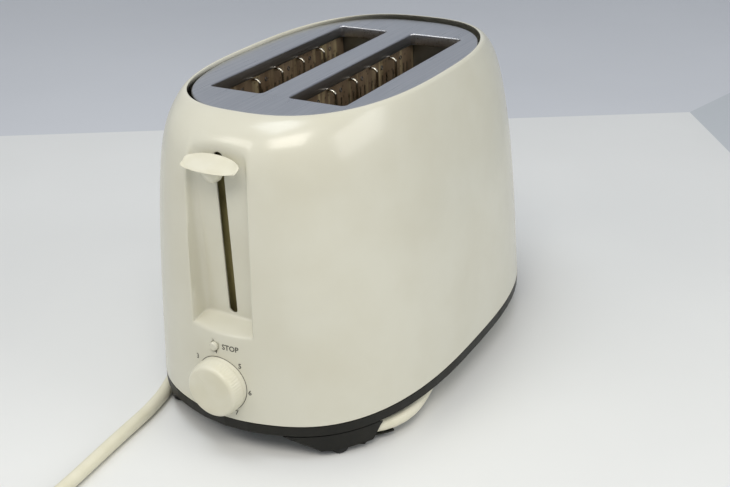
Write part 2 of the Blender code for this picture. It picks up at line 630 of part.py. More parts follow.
def make_controls():
    green = finish("circuit_board", (0.05, 0.2, 0.08), 0.5)
    black = finish("black_plastic", (0.03, 0.03, 0.03), 0.5)
    iron = finish("iron", (0.35, 0.34, 0.33), 0.5, 1.0)
    copper = finish("copper_wire", (0.6, 0.25, 0.1), 0.4, 1.0)
    box("control_board", (-36 * MM, BOARD_Y, 24 * MM), (36 * MM, BOARD_Y + BOARD_T, 63.4 * MM), green)
    pot = [(8.5 * MM, 0), (8.5 * MM, 6.5 * MM)]
    turned("browning_control", pot, (DIAL_X, BOARD_Y - GAP, DIAL_Z), (0, -1, 0), zinc(), steps=28)
    box("stop_switch", (STOP_X - 3 * MM, BOARD_Y - 3.4 * MM, STOP_Z - 3 * MM),
        (STOP_X + 3 * MM, BOARD_Y - GAP, STOP_Z + 3 * MM), black)
    behind = BOARD_Y + BOARD_T + GAP
    box("mains_switch", (-28 * MM, behind, 30 * MM), (-14 * MM, behind + 10 * MM, 44 * MM), black)
    box("terminal_block", (-44 * MM, -101 * MM, 17 * MM), (-28 * MM, -91 * MM, 27 * MM), black)
    magnet_top = 46.0 * MM
    magnet_y = -101 * MM
    section = [(6.5 * MM, 28 * MM), (6.5 * MM, 30 * MM), (3 * MM, 30 * MM), (3 * MM, magnet_top)]
    core = turned("magnet_core", section, (MAGNET_X, magnet_y, 0), (0, 0, 1), iron, steps=20)
    winding = [(3.3 * MM, 30.3 * MM), (7 * MM, 30.3 * MM), (7 * MM, 44 * MM), (3.3 * MM, 44 * MM)]
    add("magnet_coil", ring_solid(winding, (MAGNET_X, magnet_y), 24), copper, smooth=True)


def make_browning_knob():
    """Dial with a short stem that reaches the control behind the wall."""
    depth = DIAL_BACK_Y - DIAL_FACE_Y
    reach = BOARD_Y - 6.8 * MM - GAP - DIAL_BACK_Y
    profile = [(3.2 * MM, -reach), (3.2 * MM, 0), (DIAL_R - 0.3 * MM, 0), (DIAL_R, 0.4 * MM)]
    profile += [(DIAL_R - 0.7 * MM, depth - 1.2 * MM), (DIAL_R - 1.1 * MM, depth - 0.4 * MM)]
    profile += [(DIAL_R - 1.9 * MM, depth)]
    centre = (DIAL_X, DIAL_BACK_Y, DIAL_Z)
    turned("browning_knob", profile, centre, (0, -1, 0), cream(), steps=48, origin=centre)


def make_stop_button():
    stem = STOP_FACE_Y - (BOARD_Y - 4.9 * MM)
    profile = [(1.6 * MM, stem), (1.6 * MM, -5.9 * MM), (3.0 * MM, -5.9 * MM), (3.0 * MM, -4.8 * MM)]
    profile += [(STOP_R, -4.8 * MM), (STOP_R, -0.6 * MM), (STOP_R - 0.6 * MM, 0)]
    centre = (STOP_X, STOP_FACE_Y, STOP_Z)
    turned("stop_button", profile, centre, (0, -1, 0), cream(), steps=24, origin=centre)


def make_crumb_tray():
    """Sheet tray that slides out of the rear, with a curved handle that fills the base's notch."""
    low = BAND_LOW_Z + BASE_FLOOR_T + GAP
    tray = box("crumb_tray", (-TRAY_HALF_W, TRAY_FRONT_Y, low),
               (TRAY_HALF_W, 112 * MM, low + 4.2 * MM), steel())
    inside = box("tray_inside", (-TRAY_HALF_W + 1 * MM, TRAY_FRONT_Y + 1 * MM, low + 1 * MM),
                 (TRAY_HALF_W - 1 * MM, 111 * MM, low + 10 * MM))
    combine(tray, "DIFFERENCE", [inside])
    top = SEAM_Z - 2 * GAP
    handle = prism("crumb_tray_handle", housing_plan(SEAM_Z, -HANDLE_PROUD, 96), low, top, dark())
    trim = box("handle_trim", (-TRAY_HALF_W, 112.3 * MM, 0), (TRAY_HALF_W, 140 * MM, 40 * MM))
    combine(handle, "INTERSECT", [trim])


def cord_tube(name, points, mat):
    """A lead along a smooth curve through the route's points."""
    curve = bpy.data.curves.new(name, "CURVE")
    curve.dimensions = "3D"
    curve.bevel_depth = CORD_R
    curve.bevel_resolution = 2
    curve.use_fill_caps = True
    spline = curve.splines.new("POLY")
    spline.points.add(len(points) - 1)
    for target, p in zip(spline.points, points):
        target.co = (*p, 1.0)
    obj = bpy.data.objects.new(name, curve)
    bpy.context.scene.collection.objects.link(obj)
    obj.parent = bpy.data.objects["toaster"]
    curve.materials.append(mat)
    return obj


def smooth_route(route, spacing):
    """Points at even spacing on a Catmull-Rom curve through the route."""
    pts = [Vector(p) for p in route]
    pts = [2 * pts[0] - pts[1]] + pts + [2 * pts[-1] - pts[-2]]
    fine = []
    for p0, p1, p2, p3 in zip(pts, pts[1:], pts[2:], pts[3:]):
        for k in range(20):
            t = k / 20
            fine.append(0.5 * (2 * p1 + (p2 - p0) * t + (2 * p0 - 5 * p1 + 4 * p2 - p3) * t * t
                               + (3 * p1 - p0 - 3 * p2 + p3) * t ** 3))
    fine.append(pts[-2])
    lengths = [0.0]
    for a, b in zip(fine, fine[1:]):
        lengths.append(lengths[-1] + (b - a).length)
    count = round(lengths[-1] / spacing)
    even = []
    at = 0
    for i in range(count + 1):
        want = lengths[-1] * i / count
        while at < len(fine) - 2 and lengths[at + 1] < want:
            at += 1
        span = lengths[at + 1] - lengths[at]
        even.append(fine[at].lerp(fine[at + 1], (want - lengths[at]) / span))
    return even


# Route of the lead in millimetres: out of the gland, bowed out at the front right corner, round the
# drum under the base, out at the front left corner and over the floor to the coil.
LEAD_ROUTE = (
    (18.4, -97, 7.1), (32, -97, 7.2), (46, -97, 7.8), (57.3, -94.5, 8.5), (66.8, -87.8, 8.7),
    (73.2, -78.2, 8.7), (75.5, -67, 8.7), (74.6, -53, 8.7), (71.7, -37, 8.7), (69.2, -18, 8.7),
    (68, 5, 8.7), (68, 35, 8.7), (68, 67, 8.7), (65.7, 78.5, 8.7), (59.2, 88.2, 8.7),
    (49.5, 94.7, 8.7), (38, 97, 8.7), (13, 97, 8.7), (-13, 97, 8.7), (-38, 97, 8.7),
    (-49.5, 94.7, 8.7), (-59.2, 88.2, 8.7), (-65.7, 78.5, 8.7), (-68, 67, 8.7), (-68, 35, 8.7),
    (-68.5, 5, 8.7), (-70, -25, 8.7), (-71.2, -52, 8.7), (-70.3, -76, 7.6), (-67, -93, 5.5),
    (-63, -106, 4.3), (-59.6, -118, 4), (-57.2, -132, 4), (-56, -147, 4), (-54.6, -164, 4),
    (-52.9, -181, 4), (-51.4, -198, 4), (-50.7, -214, 4), (-50.5, -231, 4),
)
TAIL_ROUTE = ((11.5, -294.0, 13.4), (15.5, -294.0, 14.8), (20, -294.0, 15.8), (24.1, -294.0, 15.8))


def make_lead():
    """Mains lead: strain relief, lead, coil, tail and plug."""
    vinyl = finish("cream_vinyl", (0.8, 0.77, 0.66), 0.4)
    relief = [(4.2 * MM, -18.4 * MM), (4.2 * MM, -11.7 * MM), (5.5 * MM, -11.7 * MM), (5.5 * MM, -10 * MM)]
    relief += [(5.2 * MM, -10 * MM), (4.2 * MM, 18 * MM)]
    turned("cord_strain_relief", relief, (0, -WRAP_Y, GLAND_Z), (1, 0, 0), dark(), steps=20)
    lead = [Vector(p) * MM for p in LEAD_ROUTE]
    cord_tube("mains_lead", smooth_route(lead, 15 * MM), vinyl)
    low, high = CORD_FLOOR_Z - CORD_R, CORD_FLOOR_Z - CORD_R + 2 * CORD_R * COIL_TURNS
    near, far = COIL_R - CORD_R, COIL_R + CORD_R
    section = ((near, low), (far, low), (far, high), (near, high))
    add("lead_coil", ring_solid(section, (COIL_X, COIL_Y), 40), vinyl, smooth=True)
    tail = [Vector(p) * MM for p in TAIL_ROUTE]
    cord_tube("lead_tail", smooth_route(tail, 4 * MM), vinyl)


def make_plug():
    """Moulded earthed plug with two pins, lying on its flat."""
    centre = (PLUG_X, -294.0 * MM, PLUG_Z)
    profile = [(4.6 * MM, -9.5 * MM), (6.0 * MM, 4 * MM), (9 * MM, 6 * MM), (13 * MM, 16 * MM)]
    profile += [(17.8 * MM, 28 * MM), (18.2 * MM, 30 * MM), (18.2 * MM, 40 * MM), (17.4 * MM, 41 * MM)]
    vinyl = finish("cream_vinyl", (0.8, 0.77, 0.66), 0.4)
    plug = turned("mains_plug", profile, centre, (1, 0, 0), vinyl, steps=32)
    low_flat = box("plug_low_flat", (PLUG_X - 20 * MM, -330 * MM, -20 * MM),
                   (PLUG_X + 60 * MM, -260 * MM, 0.3 * MM))
    high_flat = box("plug_high_flat", (PLUG_X - 20 * MM, -330 * MM, 2 * PLUG_Z - 0.3 * MM),
                    (PLUG_X + 60 * MM, -260 * MM, 60 * MM))
    combine(plug, "DIFFERENCE", [low_flat, high_flat])
    pins = []
    for i, dy in enumerate((-9.5 * MM, 9.5 * MM)):
        start = (PLUG_X + 38 * MM, centre[1] + dy, PLUG_Z)
        end = (PLUG_X + 60 * MM, centre[1] + dy, PLUG_Z)
        pins.append(rod_between(f"plug_pin_{i}", start, end, 2.4 * MM, 12))
    combine(plug, "UNION", pins)


def main():
    for obj in list(bpy.data.objects):
        bpy.data.objects.remove(obj)
    root = bpy.data.objects.new("toaster", None)
    bpy.context.scene.collection.objects.link(root)
    root.location = (0, HOUSING_Y, 0)
    make_housing()
    make_base()
    make_feet_and_screws()
    make_top_plate()
    make_chassis()
    make_heaters()
    make_guards()
    make_carriage()
    make_controls()
    make_browning_knob()
    make_stop_button()
    make_crumb_tray()
    make_lead()
    make_plug()


main()
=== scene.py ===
"""Two-slice pop up toaster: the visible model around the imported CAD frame. Metres, +Z up."""

import math

import bmesh
import bpy
from mathutils import Matrix, Vector


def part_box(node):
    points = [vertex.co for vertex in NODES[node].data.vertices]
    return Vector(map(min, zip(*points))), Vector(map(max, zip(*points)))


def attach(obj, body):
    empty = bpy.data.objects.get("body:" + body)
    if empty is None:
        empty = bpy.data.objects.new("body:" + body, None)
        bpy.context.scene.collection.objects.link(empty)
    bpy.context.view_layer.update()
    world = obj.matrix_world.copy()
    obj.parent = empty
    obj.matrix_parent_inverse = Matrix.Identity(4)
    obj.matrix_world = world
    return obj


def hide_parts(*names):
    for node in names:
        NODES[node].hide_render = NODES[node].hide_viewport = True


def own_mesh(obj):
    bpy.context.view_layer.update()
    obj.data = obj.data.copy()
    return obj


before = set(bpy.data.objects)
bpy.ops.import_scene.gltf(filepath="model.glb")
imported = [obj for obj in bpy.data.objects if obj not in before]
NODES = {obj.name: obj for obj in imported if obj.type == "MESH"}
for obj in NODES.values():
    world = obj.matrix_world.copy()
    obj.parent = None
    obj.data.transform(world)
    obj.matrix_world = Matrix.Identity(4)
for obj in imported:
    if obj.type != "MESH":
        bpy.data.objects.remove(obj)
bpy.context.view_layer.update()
MM = 0.001

# Measures repeated from the CAD source; y is counted from the middle of the housing
SEAM_Z = 21.0 * MM
HOUSING_H = 157.4 * MM
SEAM_LENGTH = 260.0 * MM
SEAM_WIDTH = 168.4 * MM
PLAN_POWER_LOW = 2.755
PLAN_POWER_HIGH = 2.62
END_LEAN = 11.7 * MM
END_CURL = 16.7 * MM
END_CURL_POWER = 17.75
SIDE_LEAN = 6.7 * MM
SIDE_CURL = 12.9 * MM
SIDE_CURL_POWER = 3.82
FRONT_BULGE = 3.4 * MM
FRONT_BULGE_W = 24.0 * MM
FRONT_BULGE_POWER = 12
WALL = 2.2 * MM
CREST_Z = SEAM_Z + HOUSING_H
RIM_ROUND = 1.5 * MM
TROUGH_Y = -116.3 * MM
PLATE_Z = SEAM_Z + 155.3 * MM
LEVER_SLOT_HALF = 2.6 * MM
LEVER_SLOT_LOW_Z = SEAM_Z + 54 * MM
LEVER_SLOT_HIGH_Z = SEAM_Z + 142 * MM
DIAL_X = -1.0 * MM
DIAL_Z = 40.1 * MM
DIAL_BACK_Y = -133.3 * MM
STOP_X = -3.8 * MM
STOP_Z = 61.6 * MM
BREAD_SLOT_IN = 8.1 * MM
BREAD_SLOT_OUT = 41.5 * MM
BREAD_SLOT_HALF_L = 67.1 * MM
BREAD_X = (BREAD_SLOT_IN + BREAD_SLOT_OUT) / 2
BREAD_SLOT_CORNER_R = 2.5 * MM
FLANGE_DEPTH = 7.0 * MM
CORD_R = 3.75 * MM
# Each heater board's x, and the way from it to its bread slot along x
BOARDS = {"left_outer": (-43.9 * MM, 1), "left_inner": (-6.0 * MM, -1),
          "right_inner": (6.0 * MM, 1), "right_outer": (43.9 * MM, -1)}

HOUSING_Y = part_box("housing_shell")[1][1] - SEAM_LENGTH / 2


def srgb(red, green, blue):
    """Linear colour from 0-255 display values."""
    values = []
    for v in (red, green, blue):
        c = v / 255
        values.append(c / 12.92 if c <= 0.04045 else ((c + 0.055) / 1.055) ** 2.4)
    return (*values, 1.0)


# ---------------------------------------------------------------- camera, light, stage

CAMERA_AZIMUTH = 31.0527
CAMERA_ELEVATION = 26.0098
CAMERA_ROLL = -2.2275
CAMERA_TARGET = (-20.5 * MM, 50.32 * MM + HOUSING_Y, 15.51 * MM + SEAM_Z)
CAMERA_DISTANCE = 0.69057
CAMERA_LENS = 51.45


def make_camera():
    """Camera a little above the lever end's right corner, turned slightly about its own axis."""
    az, el, roll = (math.radians(a) for a in (CAMERA_AZIMUTH, CAMERA_ELEVATION, CAMERA_ROLL))
    back = Vector((math.sin(az) * math.cos(el), -math.cos(az) * math.cos(el), math.sin(el)))
    right = (-back).cross(Vector((0, 0, 1))).normalized()
    up = right.cross(-back)
    side = right * math.cos(roll) + up * math.sin(roll)
    top = -right * math.sin(roll) + up * math.cos(roll)
    matrix = Matrix((side, top, back)).transposed().to_4x4()
    matrix.translation = Vector(CAMERA_TARGET) + back * CAMERA_DISTANCE
    data = bpy.data.cameras.new("camera")
    data.lens = CAMERA_LENS
    data.sensor_width = 36
    data.clip_start = 0.02
    obj = bpy.data.objects.new("camera", data)
    bpy.context.scene.collection.objects.link(obj)
    obj.matrix_world = matrix
    bpy.context.scene.camera = obj


def area_light(name, place, aim, size, power, color):
    """Rectangular light at place, turned towards aim and unseen by the camera."""
    data = bpy.data.lights.new(name, "AREA")
    data.shape = "RECTANGLE"
    data.size, data.size_y = size
    data.energy = power
    data.color = color
    obj = bpy.data.objects.new(name, data)
    bpy.context.scene.collection.objects.link(obj)
    obj.visible_camera = False
    obj.location = place
    obj.rotation_euler = (Vector(aim) - Vector(place)).to_track_quat("-Z", "Y").to_euler()


def make_stage():
    """Pale table top that ends at a corner, greyer ground beyond it, a darker patch right of the corner
    painted as shade, and soft light from all round.
    """
    scene = bpy.context.scene
    scene.view_settings.view_transform = "Standard"
    world = bpy.data.worlds.new("studio")
    world.use_nodes = True
    background = world.node_tree.nodes["Background"]
    background.inputs["Color"].default_value = (0.93, 0.96, 1.0, 1.0)
    background.inputs["Strength"].default_value = 0.46
    scene.world = world
    area_light("key", (-0.50, -0.82, 0.95), (0, -0.05, 0.1), (0.46, 0.34), 2.0, (1.0, 0.96, 0.88))
    area_light("front_top", (0.40, -0.75, 1.15), (0.14, -0.32, 0), (0.7, 0.5), 7.0, (1.0, 0.95, 0.86))
    area_light("right_fill", (1.3, 0.15, 0.7), (0, 0, 0.08), (0.9, 0.7), 5.2, (1.0, 0.99, 0.96))
    area_light("overhead", (-0.15, -0.2, 1.25), (0, 0, 0.1), (0.55, 0.4), 3.0, (0.90, 0.95, 1.0))
    area_light("rear_panel", (-0.9, 1.5, 0.85), (0, 0, 0.17), (1.8, 1.0), 1.2, (0.96, 0.98, 1.0))
    table = surface("table_top", srgb(226, 227, 226), srgb(231, 232, 231), 0.36, 3.0, spread=0.05)
    ground = surface("ground_beyond", srgb(204, 207, 213), srgb(209, 212, 218), 0.5, 2.0, spread=0.05)
    # Painted shade: the ground right of the corner is a darker copy of the ground beyond, standing for a wall
    # face turned away from the light.
    side = surface("ground_right_painted_shade", srgb(190, 195, 200), srgb(195, 200, 205), 0.5, 2.0, spread=0.05)
    wall = surface("wall_paint", srgb(196, 202, 212), srgb(204, 209, 218), 0.6, 2.0, spread=0.05)
    corner = (0.079, 0.508, 0)
    far = (1.05, 4, 0)
    patches = {
        "floor": ([(-4, -1.879, 0), (-4, -4, 0), (2.951, -4, 0), corner], table),
        "floor_beyond": ([(-4, -1.879, 0), corner, far, (-4, 4, 0)], ground),
        "floor_right_painted_shade": ([corner, (2.951, -4, 0), (4, -4, 0), (4, 4, 0), far], side),
        "backdrop": ([(-4, 4, 0), (4, 4, 0), (4, 4, 3), (-4, 4, 3)], wall),
    }
    for name, (corners, mat) in patches.items():
        mesh_piece(name, corners, [tuple(range(len(corners)))], mat)


# ---------------------------------------------------------------- materials

def surface(name, dark, light, rough, scale, metallic=0.0, spread=0.08, grain=0.0, grain_scale=900.0,
            stretch=(1, 1, 1), coat=0.0, anisotropic=0.0, specular=0.5):
    """Two tones blended by noise, roughness that varies with it, and a fine bump."""
    mat = bpy.data.materials.new(name)
    mat.use_nodes = True
    nodes, links = mat.node_tree.nodes, mat.node_tree.links
    shader = nodes["Principled BSDF"]
    shader.inputs["Metallic"].default_value = metallic
    shader.inputs["Specular IOR Level"].default_value = specular
    shader.inputs["Coat Weight"].default_value = coat
    shader.inputs["Coat Roughness"].default_value = 0.12
    shader.inputs["Anisotropic"].default_value = anisotropic
    coords = nodes.new("ShaderNodeTexCoord")
    mapping = nodes.new("ShaderNodeMapping")
    mapping.inputs["Scale"].default_value = stretch
    links.new(coords.outputs["Object"], mapping.inputs["Vector"])
    noise = nodes.new("ShaderNodeTexNoise")
    noise.inputs["Scale"].default_value = scale
    noise.inputs["Detail"].default_value = 4
    links.new(mapping.outputs["Vector"], noise.inputs["Vector"])
    tones = nodes.new("ShaderNodeValToRGB")
    tones.color_ramp.elements[0].position = 0.35
    tones.color_ramp.elements[0].color = dark
    tones.color_ramp.elements[1].position = 0.65
    tones.color_ramp.elements[1].color = light
    links.new(noise.outputs["Fac"], tones.inputs["Fac"])
    links.new(tones.outputs["Color"], shader.inputs["Base Color"])
    gloss = nodes.new("ShaderNodeMapRange")
    gloss.inputs["From Min"].default_value = 0.3
    gloss.inputs["From Max"].default_value = 0.7
    gloss.inputs["To Min"].default_value = rough * (1 - spread)
    gloss.inputs["To Max"].default_value = rough * (1 + spread)
    links.new(noise.outputs["Fac"], gloss.inputs["Value"])
    links.new(gloss.outputs["Result"], shader.inputs["Roughness"])
    if grain:
        fine = nodes.new("ShaderNodeTexNoise")
        fine.inputs["Scale"].default_value = grain_scale
        fine.inputs["Detail"].default_value = 2
        links.new(mapping.outputs["Vector"], fine.inputs["Vector"])
        bump = nodes.new("ShaderNodeBump")
        bump.inputs["Strength"].default_value = grain
        bump.inputs["Distance"].default_value = 0.1 * MM
        links.new(fine.outputs["Fac"], bump.inputs["Height"])
        links.new(bump.outputs["Normal"], shader.inputs["Normal"])
    return mat


def mica_material():
    """Brown flaky board: blotches, pale vertical streaks and small dark flecks."""
    mat = surface("mica_board", srgb(104, 86, 66), srgb(136, 117, 94), 0.45, 60, spread=0.3, grain=0.35,
                  grain_scale=500, stretch=(1, 1, 0.45))
    nodes, links = mat.node_tree.nodes, mat.node_tree.links
    shader = nodes["Principled BSDF"]
    base = shader.inputs["Base Color"].links[0].from_socket
    coords = nodes["Texture Coordinate"]
    streak_map = nodes.new("ShaderNodeMapping")
    streak_map.inputs["Scale"].default_value = (1, 1, 0.06)
    links.new(coords.outputs["Object"], streak_map.inputs["Vector"])
    streaks = nodes.new("ShaderNodeTexNoise")
    streaks.inputs["Scale"].default_value = 260
    links.new(streak_map.outputs["Vector"], streaks.inputs["Vector"])
    streak_ramp = nodes.new("ShaderNodeValToRGB")
    streak_ramp.color_ramp.elements[0].position = 0.55
    streak_ramp.color_ramp.elements[1].position = 0.72
    links.new(streaks.outputs["Fac"], streak_ramp.inputs["Fac"])
    pale = nodes.new("ShaderNodeMix")
    pale.data_type = "RGBA"
    pale.inputs["B"].default_value = srgb(176, 160, 122)
    links.new(streak_ramp.outputs["Color"], pale.inputs["Factor"])
    links.new(base, pale.inputs["A"])
    flecks = nodes.new("ShaderNodeTexVoronoi")
    flecks.inputs["Scale"].default_value = 320
    links.new(coords.outputs["Object"], flecks.inputs["Vector"])
    fleck_ramp = nodes.new("ShaderNodeValToRGB")
    fleck_ramp.color_ramp.elements[0].position = 0.12
    fleck_ramp.color_ramp.elements[0].color = (0.25, 0.22, 0.18, 1)
    fleck_ramp.color_ramp.elements[1].position = 0.3
    links.new(flecks.outputs["Distance"], fleck_ramp.inputs["Fac"])
    spotted = nodes.new("ShaderNodeMix")
    spotted.data_type = "RGBA"
    spotted.blend_type = "MULTIPLY"
    spotted.inputs["Factor"].default_value = 0.7
    links.new(pale.outputs["Result"], spotted.inputs["A"])
    links.new(fleck_ramp.outputs["Color"], spotted.inputs["B"])
    links.new(spotted.outputs["Result"], shader.inputs["Base Color"])
    return mat


def make_materials():
    """Every finish used below, by a short name."""
    return {
        "cream": surface("cream_gloss", srgb(206, 203, 186), srgb(211, 209, 194), 0.24, 22, spread=0.1,
                         grain=0.05, grain_scale=700, coat=0.2),
        "knob": surface("cream_satin", srgb(214, 210, 189), srgb(220, 217, 200), 0.32, 60, spread=0.12,
                        grain=0.12, grain_scale=1400),
        "dark": surface("dark_base_plastic", srgb(22, 22, 18), srgb(30, 29, 24), 0.45, 90, spread=0.15,
                        grain=0.3, grain_scale=2600, specular=0.25),
        "black": surface("black_fitting", srgb(24, 24, 24), srgb(34, 34, 33), 0.5, 120, grain=0.2),
        "steel": surface("brushed_plate", srgb(188, 190, 195), srgb(202, 203, 207), 0.3, 60, metallic=1.0,
                         spread=0.1, grain=0.1, grain_scale=160, stretch=(14, 0.35, 14), anisotropic=0.3),
        "zinc": surface("zinc_sheet", srgb(138, 142, 140), srgb(166, 168, 164), 0.38, 45, metallic=1.0,
                        spread=0.25, grain=0.25, grain_scale=420),
        "wire": surface("guard_wire", srgb(176, 170, 156), srgb(206, 200, 186), 0.2, 200, metallic=1.0,
                        spread=0.3, grain=0.2, grain_scale=800),
        "mica": mica_material(),
        "rubber": surface("foot_rubber", srgb(22, 22, 22), srgb(32, 32, 31), 0.75, 150, grain=0.5),
        "iron": surface("magnet_iron", srgb(92, 92, 94), srgb(120, 119, 116), 0.45, 90, metallic=1.0,
                        spread=0.25, grain=0.3, grain_scale=500),
        "copper": surface("enamelled_copper", srgb(150, 70, 34), srgb(182, 94, 50), 0.32, 60, metallic=1.0,
                          spread=0.2, grain=0.6, grain_scale=900, stretch=(0.2, 0.2, 2.4)),
        "board": surface("circuit_board", srgb(20, 82, 44), srgb(32, 100, 56), 0.4, 70, spread=0.2,
                         grain=0.3, grain_scale=400),
        "vinyl": surface("lead_vinyl", srgb(220, 216, 193), srgb(227, 223, 203), 0.38, 70, spread=0.15,
                         grain=0.15, grain_scale=1600),
        "ribbon": surface("heating_ribbon", srgb(150, 142, 122), srgb(186, 178, 156), 0.35, 300, metallic=1.0,
                          spread=0.3, grain=0.2),
        # Dark ink for the printed numbers and word, also used for the painted shadow ring round the dial's
        # seat.
        "print_and_shadow": surface("printed_marks_and_shadow", srgb(58, 56, 50), srgb(78, 76, 68), 0.5, 300, grain=0.1),
        "guide": surface("guide_strip", srgb(128, 119, 78), srgb(158, 148, 100), 0.5, 300, spread=0.2,
                         grain=0.5, grain_scale=500, stretch=(1, 1, 0.2)),
        "brass": surface("nickel_pin", srgb(188, 184, 170), srgb(210, 206, 194), 0.24, 90, metallic=1.0,
                         spread=0.2, grain=0.15),
    }


# ---------------------------------------------------------------- mesh helpers

def mesh_piece(name, verts, faces, mat):
    """A flat-shaded piece from points and faces."""
    mesh = bpy.data.meshes.new(name)
    mesh.from_pydata([tuple(v) for v in verts], [], faces)
    return finish_piece(name, mesh, mat, smooth=False)


def finish_piece(name, mesh, mat, smooth=True, sharp=40):
    """Link a mesh as a piece with outward normals."""
    bm = bmesh.new()
    bm.from_mesh(mesh)
    bmesh.ops.recalc_face_normals(bm, faces=bm.faces)
    bm.to_mesh(mesh)
    bm.free()
    mesh.materials.append(mat)
    if smooth:
        mesh.shade_smooth()
        mesh.set_sharp_from_angle(angle=math.radians(sharp))
    obj = bpy.data.objects.new(name, mesh)
    bpy.context.scene.collection.objects.link(obj)
    return obj


def shifted(points):
    """Points counted from the middle of the housing, moved into the row frame."""
    return [(x, y + HOUSING_Y, z) for x, y, z in points]


def loft(name, rings, mat, close=False, sharp=40):
    """Quads between rings of equal point count: capped at both ends, or joined into a ring solid."""
    count = len(rings[0])
    verts = [p for ring in rings for p in ring]
    pairs = list(zip(range(len(rings) - 1), range(1, len(rings))))
    if close:
        pairs.append((len(rings) - 1, 0))
    faces = []
    for a, b in pairs:
        for i in range(count):
            j = (i + 1) % count
            faces.append((a * count + i, a * count + j, b * count + j, b * count + i))
    if not close:
        faces.append(tuple(range(count)))
        faces.append(tuple(range((len(rings) - 1) * count, len(rings) * count)))
    mesh = bpy.data.meshes.new(name)
    mesh.from_pydata(shifted(verts), [], faces)
    return finish_piece(name, mesh, mat, sharp=sharp)


def turned_rings(profile, centre, axis, steps):
    """Rings of a solid of revolution: profile is (radius, distance along axis)."""
    turn = Vector((0, 0, 1)).rotation_difference(Vector(axis)).to_matrix()
    rings = []
    for radius, along in profile:
        angles = [2 * math.pi * i / steps for i in range(steps)]
        ring = [Vector((radius * math.cos(a), radius * math.sin(a), along)) for a in angles]
        rings.append([tuple(turn @ p + Vector(centre)) for p in ring])
    return rings


def rounded_rect(half_x, half_y, radius, per_corner=6):
    """Points round a rectangle whose corners are quarter circles."""
    points = []
    for quarter, (sx, sy) in enumerate(((1, 1), (-1, 1), (-1, -1), (1, -1))):
        for i in range(per_corner + 1):
            a = math.pi / 2 * (quarter + i / per_corner)
            points.append((sx * (half_x - radius) + radius * math.cos(a),
                           sy * (half_y - radius) + radius * math.sin(a)))
    return points


def arc(start, end, steps):
    """Angles in radians from start to end degrees."""
    return [math.radians(start + (end - start) * i / steps) for i in range(steps + 1)]


def wire_object(name, runs, radius, mat, resolution=3):
    """Round wires through lists of points."""
    curve = bpy.data.curves.new(name, "CURVE")
    curve.dimensions = "3D"
    curve.bevel_depth = radius
    curve.bevel_resolution = resolution
    curve.use_fill_caps = True
    for points in runs:
        spline = curve.splines.new("POLY")
        spline.points.add(len(points) - 1)
        for target, p in zip(spline.points, points):
            target.co = (p[0], p[1] + HOUSING_Y, p[2], 1.0)
    curve.materials.append(mat)
    obj = bpy.data.objects.new(name, curve)
    bpy.context.scene.collection.objects.link(obj)
    return obj


def smooth_route(route, spacing):
    """Points at even spacing on a Catmull-Rom curve through the route."""
    pts = [Vector(p) for p in route]
    pts = [2 * pts[0] - pts[1]] + pts + [2 * pts[-1] - pts[-2]]
    fine = []
    for p0, p1, p2, p3 in zip(pts, pts[1:], pts[2:], pts[3:]):
        for k in range(20):
            t = k / 20
            fine.append(0.5 * (2 * p1 + (p2 - p0) * t + (2 * p0 - 5 * p1 + 4 * p2 - p3) * t * t
                               + (3 * p1 - p0 - 3 * p2 + p3) * t ** 3))
    fine.append(pts[-2])
    lengths = [0.0]
    for a, b in zip(fine, fine[1:]):
        lengths.append(lengths[-1] + (b - a).length)
    count = round(lengths[-1] / spacing)
    even = []
    at = 0
    for i in range(count + 1):
        want = lengths[-1] * i / count
        while at < len(fine) - 2 and lengths[at + 1] < want:
            at += 1
        span = lengths[at + 1] - lengths[at]
        even.append(fine[at].lerp(fine[at + 1], (want - lengths[at]) / span))
    return even


# ---------------------------------------------------------------- mains lead

LEAD_ROUTE = (
    (18.4, -97, 7.1), (32, -97, 7.2), (46, -97, 7.8), (57.3, -94.5, 8.5), (66.8, -87.8, 8.7),
    (73.2, -78.2, 8.7), (75.5, -67, 8.7), (74.6, -53, 8.7), (71.7, -37, 8.7), (69.2, -18, 8.7),
    (68, 5, 8.7), (68, 35, 8.7), (68, 67, 8.7), (65.7, 78.5, 8.7), (59.2, 88.2, 8.7),
    (49.5, 94.7, 8.7), (38, 97, 8.7), (13, 97, 8.7), (-13, 97, 8.7), (-38, 97, 8.7),
    (-49.5, 94.7, 8.7), (-59.2, 88.2, 8.7), (-65.7, 78.5, 8.7), (-68, 67, 8.7), (-68, 35, 8.7),
    (-68.5, 5, 8.7), (-70, -25, 8.7), (-71.2, -52, 8.7), (-70.3, -76, 7.6), (-67, -93, 5.5),
    (-63, -106, 4.3), (-59.6, -118, 4), (-57.2, -132, 4), (-56, -147, 4), (-54.6, -164, 4),
    (-52.9, -181, 4), (-51.4, -198, 4), (-50.7, -214, 4), (-50.5, -231, 4),
    (-50.5, -243.5, 4),
)
TAIL_ROUTE = ((11.5, -294.0, 13.4), (15.5, -294.0, 14.8), (20, -294.0, 15.8), (24.1, -294.0, 15.8))
COIL_CENTRE = (-13.0, -256.0)
COIL_R = 37.5


def coil_points():
    """Round once on the floor, then up over the first turn and out towards the plug."""
    climb_from, climb_over, climb_height = 435, 80, 7.5
    points = []
    for degrees in range(180, 631, 15):
        climb = min(max((degrees - climb_from) / climb_over, 0.0), 1.0)
        z = 4 + climb_height * climb * climb * (3 - 2 * climb)
        a = math.radians(degrees)
        points.append((COIL_CENTRE[0] + COIL_R * math.cos(a), COIL_CENTRE[1] + COIL_R * math.sin(a), z))
    return points


def make_lead(mats, plug):
    """The mains lead as one wire along its whole route, in place of the CAD's tubes and coil."""
    route = [Vector(p) * MM for p in list(LEAD_ROUTE) + coil_points() + list(TAIL_ROUTE)]
    points = smooth_route(route, 6 * MM)
    lead = wire_object("mains_lead_visible", [points], CORD_R, mats["vinyl"], resolution=4)
    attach(lead, "housing")
    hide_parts("mains_lead", "lead_coil", "lead_tail")


